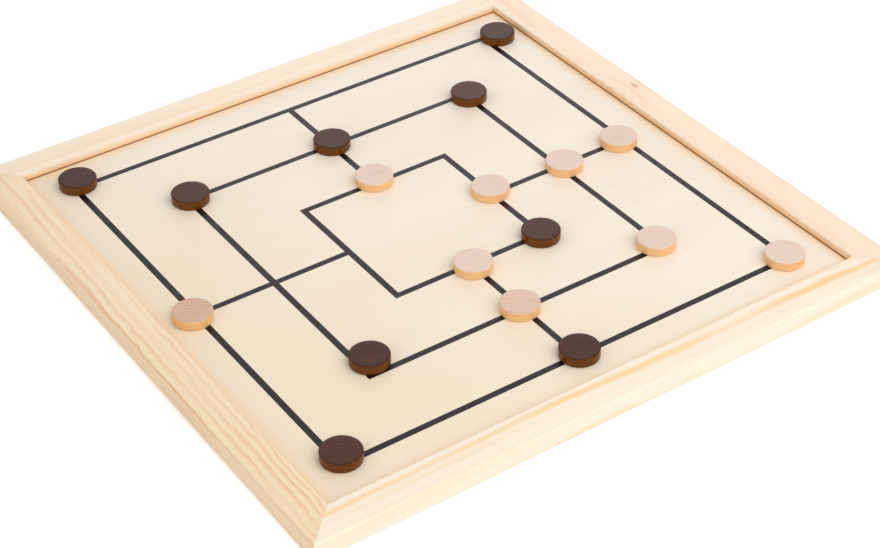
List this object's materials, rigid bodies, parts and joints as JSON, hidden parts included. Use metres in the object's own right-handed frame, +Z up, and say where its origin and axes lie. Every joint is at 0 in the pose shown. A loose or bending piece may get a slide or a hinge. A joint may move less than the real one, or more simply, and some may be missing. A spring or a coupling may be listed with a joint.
{
  "type": "nine mens morris board",
  "caption": "Framed square wooden game board with a recessed panel printed with nested squares, and loose round light and dark wooden discs lying on it.",
  "frame": {"origin": "middle of the underside of the frame, at the height of the table", "axes": "+Z up, the way the playing side faces; -Y towards the near rail; +X towards the right rail"},
  "size_m": [0.391, 0.391, 0.0143],
  "materials": {
    "pine_front": "clear satin varnish, pale pine with straight yellow grain",
    "pine_right": "clear satin varnish, pale pine, pinkish, with broad soft figure and a small knot",
    "pine_back": "clear satin varnish, pale pine with a band of straight grain",
    "pine_left": "clear satin varnish, pale pine with strong orange streaks",
    "panel_plywood": "smooth clear-coated light veneer",
    "print_ink": "flat dark grey print",
    "nail_steel": "bare strip steel",
    "dark_beech": "dark brown stain under satin varnish",
    "light_beech": "natural, satin varnish"
  },
  "bodies": {
    "board": {"rail_front": "pine_front", "rail_right": "pine_right", "rail_back": "pine_back", "rail_left": "pine_left", "playing_panel": "panel_plywood", "printed_lines": "print_ink", "corner_v_nails": "nail_steel"},
    "dark_disc_1": {"dark_disc_1": "dark_beech"},
    "dark_disc_2": {"dark_disc_2": "dark_beech"},
    "dark_disc_3": {"dark_disc_3": "dark_beech"},
    "dark_disc_4": {"dark_disc_4": "dark_beech"},
    "dark_disc_5": {"dark_disc_5": "dark_beech"},
    "dark_disc_6": {"dark_disc_6": "dark_beech"},
    "dark_disc_7": {"dark_disc_7": "dark_beech"},
    "dark_disc_8": {"dark_disc_8": "dark_beech"},
    "dark_disc_9": {"dark_disc_9": "dark_beech"},
    "light_disc_1": {"light_disc_1": "light_beech"},
    "light_disc_2": {"light_disc_2": "light_beech"},
    "light_disc_3": {"light_disc_3": "light_beech"},
    "light_disc_4": {"light_disc_4": "light_beech"},
    "light_disc_5": {"light_disc_5": "light_beech"},
    "light_disc_6": {"light_disc_6": "light_beech"},
    "light_disc_7": {"light_disc_7": "light_beech"},
    "light_disc_8": {"light_disc_8": "light_beech"},
    "light_disc_9": {"light_disc_9": "light_beech"}
  },
  "joints": [
    {"name": "dark_disc_1_lift", "type": "slide", "parent": "board", "child": "dark_disc_1", "axis": [0, 0, 1], "range_m": [0, 0.04]},
    {"name": "dark_disc_2_lift", "type": "slide", "parent": "board", "child": "dark_disc_2", "axis": [0, 0, 1], "range_m": [0, 0.04]},
    {"name": "dark_disc_3_lift", "type": "slide", "parent": "board", "child": "dark_disc_3", "axis": [0, 0, 1], "range_m": [0, 0.04]},
    {"name": "dark_disc_4_lift", "type": "slide", "parent": "board", "child": "dark_disc_4", "axis": [0, 0, 1], "range_m": [0, 0.04]},
    {"name": "dark_disc_5_lift", "type": "slide", "parent": "board", "child": "dark_disc_5", "axis": [0, 0, 1], "range_m": [0, 0.04]},
    {"name": "dark_disc_6_lift", "type": "slide", "parent": "board", "child": "dark_disc_6", "axis": [0, 0, 1], "range_m": [0, 0.04]},
    {"name": "dark_disc_7_lift", "type": "slide", "parent": "board", "child": "dark_disc_7", "axis": [0, 0, 1], "range_m": [0, 0.04]},
    {"name": "dark_disc_8_lift", "type": "slide", "parent": "board", "child": "dark_disc_8", "axis": [0, 0, 1], "range_m": [0, 0.04]},
    {"name": "dark_disc_9_lift", "type": "slide", "parent": "board", "child": "dark_disc_9", "axis": [0, 0, 1], "range_m": [0, 0.04]},
    {"name": "light_disc_1_lift", "type": "slide", "parent": "board", "child": "light_disc_1", "axis": [0, 0, 1], "range_m": [0, 0.04]},
    {"name": "light_disc_2_lift", "type": "slide", "parent": "board", "child": "light_disc_2", "axis": [0, 0, 1], "range_m": [0, 0.04]},
    {"name": "light_disc_3_lift", "type": "slide", "parent": "board", "child": "light_disc_3", "axis": [0, 0, 1], "range_m": [0, 0.04]},
    {"name": "light_disc_4_lift", "type": "slide", "parent": "board", "child": "light_disc_4", "axis": [0, 0, 1], "range_m": [0, 0.04]},
    {"name": "light_disc_5_lift", "type": "slide", "parent": "board", "child": "light_disc_5", "axis": [0, 0, 1], "range_m": [0, 0.04]},
    {"name": "light_disc_6_lift", "type": "slide", "parent": "board", "child": "light_disc_6", "axis": [0, 0, 1], "range_m": [0, 0.04]},
    {"name": "light_disc_7_lift", "type": "slide", "parent": "board", "child": "light_disc_7", "axis": [0, 0, 1], "range_m": [0, 0.04]},
    {"name": "light_disc_8_lift", "type": "slide", "parent": "board", "child": "light_disc_8", "axis": [0, 0, 1], "range_m": [0, 0.04]},
    {"name": "light_disc_9_lift", "type": "slide", "parent": "board", "child": "light_disc_9", "axis": [0, 0, 1], "range_m": [0, 0.04]}
  ]
}
